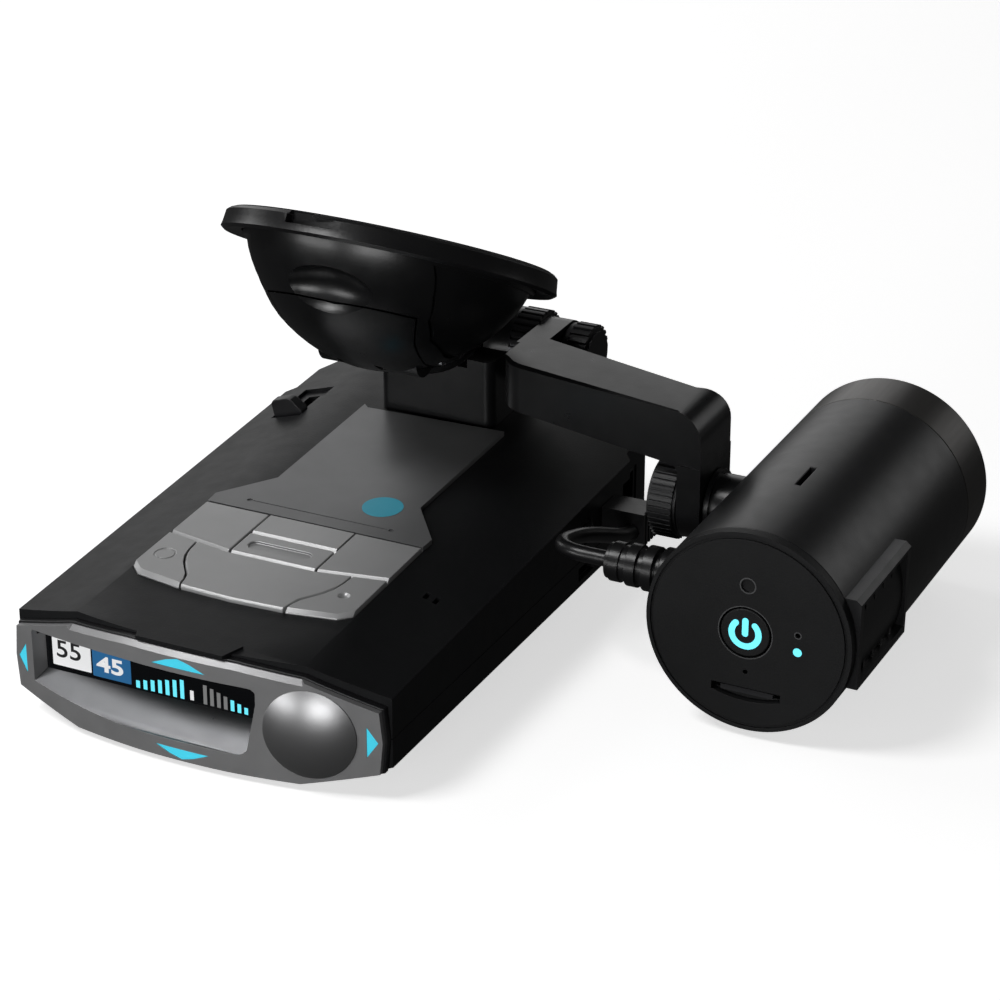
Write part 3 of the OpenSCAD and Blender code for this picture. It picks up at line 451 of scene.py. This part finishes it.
# the display: two tiles with figures, and two rows of bars with a figure between them
SCREEN_Y = 2.02
BAR_FOOT = 10.9
bm = bmesh.new()
plate_into(bm, rounded(-33.4, 11.6, -24.5, 20, 0.2), SCREEN_Y - 0.06, SCREEN_Y, 0)
plate_into(bm, rounded(-24.1, 11.2, -15.3, 20, 0.2), SCREEN_Y - 0.06, SCREEN_Y, 1)
make("display_tiles", bm, [SCREEN_WHITE, SCREEN_BLUE], "detector")
bm = bmesh.new()
for x0, pitch, width, top, climb, unlit in (
    (-14.2, 1.68, 0.85, 12.5, 0.42, 0),
    (1.1, 1.52, 0.8, 15.1, -0.46, 4),
):
    for i in range(7):
        x = x0 + pitch * i
        outline = rounded(x, BAR_FOOT, x + width, top + i * climb, 0.05, 2)
        plate_into(bm, outline, SCREEN_Y - 0.05, SCREEN_Y, 1 if i < unlit else 0)
make("display_bars", bm, [SCREEN_CYAN, SCREEN_GREY], "detector")
digits("display_limit", "55", -32.4, 13.5, 3.8, SCREEN_Y - 0.07, INK, "detector", 0.01, 1.15)
digits("display_speed", "45", -23.2, 12.5, 3.5, SCREEN_Y - 0.07, SCREEN_WHITE, "detector",
       0.026, 1.35)
digits("display_count", "1", -1.9, 11.1, 2.1, SCREEN_Y - 0.01, SCREEN_WHITE, "detector",
       0.05, 1.5)

# badge on the plate: a plain disc, lying on the plate's own face
BADGE_AT, BADGE_RADIUS, BADGE_SIDES = (9.6, 60.6), 4.3, 48
plate_mesh = frame["nodes"]["control_plate"].data


def plate_height(x, y):
    """Height of the plate's upper face over a point, found from the mesh."""
    target = at(x, y, 0)
    face = max((p for p in plate_mesh.polygons if p.normal.z > 0.9), key=lambda p: p.area)
    c, n = face.center, face.normal
    return c.z - ((target.x - c.x) * n.x + (target.y - c.y) * n.y) / n.z


bm = bmesh.new()
up, down = [], []
for k in range(BADGE_SIDES):
    x, y = on_circle(BADGE_AT, BADGE_RADIUS, 360 * k / BADGE_SIDES)
    p, h = at(x, y, 0), plate_height(x, y)
    up.append(bm.verts.new((p.x, p.y, h + 0.05 * MM)))
    down.append(bm.verts.new((p.x, p.y, h - 0.1 * MM)))
bm.faces.new(up)
for i in range(BADGE_SIDES):
    j = (i + 1) % BADGE_SIDES
    bm.faces.new([up[i], down[i], down[j], up[j]])
bm.faces.new(down[::-1])
make("badge", bm, [BADGE], "detector")


def stroke_into(bm, centre, radius, a0, a1, width, y0, y1, steps=40):
    """A band of even width along an arc, with round ends."""
    half = width / 2
    angles = [a0 + (a1 - a0) * i / steps for i in range(steps + 1)]
    outer = [on_circle(centre, radius + half, a) for a in angles]
    inner = [on_circle(centre, radius - half, a) for a in angles]

    def cap(a, turn):
        middle = on_circle(centre, radius, a)
        return [on_circle(middle, half, a + turn * 180 * k / 8) for k in range(1, 8)]

    plate_into(bm, outer + cap(a1, 1) + inner[::-1] + cap(a0, -1)[::-1], y0, y1)


# the lit symbol on the power button: an open ring and a short bar
BUTTON_Y = face_of("power_button")
bm = bmesh.new()
stroke_into(bm, (92.9, 23.4), 2.8, 135, 405, 1.3, BUTTON_Y - 0.05, BUTTON_Y + 0.05)
plate_into(bm, rounded(92.25, 22.7, 93.55, 26.75, 0.64, 6), BUTTON_Y - 0.05, BUTTON_Y + 0.05)
make("power_symbol", bm, [ICON], "camera_power")


def ring_into(bm, centre, radius, width, y0, y1, sides):
    """A flat ring facing forward, between two Y values, in mm."""
    half = width / 2
    rows = []
    for r, y in ((radius - half, y1), (radius - half, y0), (radius + half, y0), (radius + half, y1)):
        circle = [on_circle(centre, r, 360 * k / sides) for k in range(sides)]
        rows.append([bm.verts.new(at(x, y, z)) for x, z in circle])
    for a, b in zip(rows, rows[1:] + rows[:1]):
        for k in range(sides):
            bm.faces.new([a[k], a[(k + 1) % sides], b[(k + 1) % sides], b[k]])


# painted highlight rings on the camera's end cap: the grooves round the microphone, the unlit light and the
# power button are real, their lit rims are painted light grey
CAP_Y = face_of("cam_end_cap")
bm = bmesh.new()
for centre, radius, width, sides in (
    ((93.1, 33.7), 1.6, 0.26, 40),
    ((103.7, 25.3), 0.68, 0.2, 24),
    ((92.9, 23.5), 5.6, 0.2, 64),
):
    ring_into(bm, centre, radius, width, CAP_Y - 0.02, CAP_Y + 0.3, sides)
make("cap_highlight_rings", bm, [DOCK_TOP_AND_RING_HIGHLIGHT], "dash_camera")

# ---------------------------------------------------------------- lead

ROUTE = [(59.3, 64, 27), (56.6, 64, 27), (53.6, 64, 27), (51.4, 64.2, 27), (49.6, 64.9, 26.9),
         (48, 66.2, 26.7), (47.1, 68, 26.4), (46.8, 70.4, 25.9), (46.8, 73.6, 25), (47.2, 77.4, 23.9),
         (47.8, 81.4, 22.4), (48.4, 85, 20.9), (49, 88.6, 19.3), (49.4, 92, 17.9), (49.6, 95, 17),
         (49.6, 97, 16.6)]
LEAD_D = 3.4


def smooth_route(points, steps):
    """A smooth line through the points."""
    p = [at(*q) for q in points]
    p = [p[0] * 2 - p[1]] + p + [p[-1] * 2 - p[-2]]
    out = []
    for i in range(1, len(p) - 2):
        a, b, c, d = p[i - 1], p[i], p[i + 1], p[i + 2]
        for k in range(steps):
            u = k / steps
            out.append(0.5 * ((2 * b) + (c - a) * u + (2 * a - 5 * b + 4 * c - d) * u * u +
                              (3 * b - a - 3 * c + d) * u ** 3))
    return out + [p[-2]]


def tube(name, line, radius, sides=20):
    """A round cord along a line, closed at both ends."""
    bm = bmesh.new()
    rings = []
    up = Vector((0, 0, 1))
    turns = [2 * math.pi * k / sides for k in range(sides)]
    for i, p in enumerate(line):
        t = (line[min(i + 1, len(line) - 1)] - line[max(i - 1, 0)]).normalized()
        side = t.cross(up).normalized()
        up = side.cross(t).normalized()
        rings.append([bm.verts.new(p + (side * math.cos(a) + up * math.sin(a)) * radius) for a in turns])
    for a, b in zip(rings, rings[1:]):
        for k in range(sides):
            bm.faces.new([a[k], a[(k + 1) % sides], b[(k + 1) % sides], b[k]])
    bm.faces.new(rings[0][::-1])
    bm.faces.new(rings[-1])
    bmesh.ops.recalc_face_normals(bm, faces=bm.faces)
    return new_object(name, bm, [RUBBER], 60)


LINE = smooth_route(ROUTE, 4)
lead = tube("camera_lead", LINE, (LEAD_D / 2 - 0.03) * MM)
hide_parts("lead")
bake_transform(lead)

# ---------------------------------------------------------------- floor and light

FLOOR_SIZE, FLOOR_CELLS, FLOOR_SHIFT = 60.0, 40, 1.5  # metres across, squares along a side, metres back
FLOOR_GAP = 0.6 * MM
low = CAD_BOX[0].z - FLOOR_GAP
across = [FLOOR_SIZE * (i / FLOOR_CELLS - 0.5) for i in range(FLOOR_CELLS + 1)]
bm = bmesh.new()
grid = [[bm.verts.new((x, y + FLOOR_SHIFT, low)) for x in across] for y in across]
for near, far in zip(grid, grid[1:]):
    for i in range(FLOOR_CELLS):
        bm.faces.new([near[i], near[i + 1], far[i + 1], far[i]])
FLOOR = surface("floor", (0.86, 0.86, 0.86), 0.75, specular=0.2, grain=60, bump=0.02, mottle=2, vary=0.01,
                glow=(1, 1, 1), glow_strength=0.62)
floor = new_object("floor", bm, [FLOOR], 30)
floor.visible_diffuse = False
floor.visible_glossy = False

CENTRE = Vector((0.03, -0.01, -0.03))


def softbox(name, where, width, height, power):
    """A rectangular light that faces the middle of the object."""
    data = bpy.data.lights.new(name, "AREA")
    data.shape = "RECTANGLE"
    data.size, data.size_y = width, height
    data.energy = power
    obj = bpy.data.objects.new(name, data)
    bpy.context.scene.collection.objects.link(obj)
    obj.location = where
    obj.rotation_euler = (CENTRE - Vector(where)).to_track_quat("-Z", "Y").to_euler()


softbox("key_light", (-0.34, -0.40, 0.72), 0.30, 0.30, 3.6)
softbox("left_light", (-0.85, 0.15, 0.40), 0.4, 0.5, 1.6)
softbox("front_light", (0.16, -1.00, 0.06), 0.45, 0.30, 3.4)
softbox("low_light", (-0.50, -0.80, 0.02), 0.5, 0.2, 2.2)
softbox("back_light", (-0.50, 0.90, 0.25), 0.9, 0.6, 1.6)
softbox("rear_fill", (0.72, 0.90, 0.34), 0.6, 0.5, 0.9)

world = bpy.data.worlds.new("studio")
world.use_nodes = True
world.node_tree.nodes["Background"].inputs["Color"].default_value = (1, 1, 1, 1)
world.node_tree.nodes["Background"].inputs["Strength"].default_value = 0.035
bpy.context.scene.world = world
bpy.context.scene.view_settings.view_transform = "Standard"
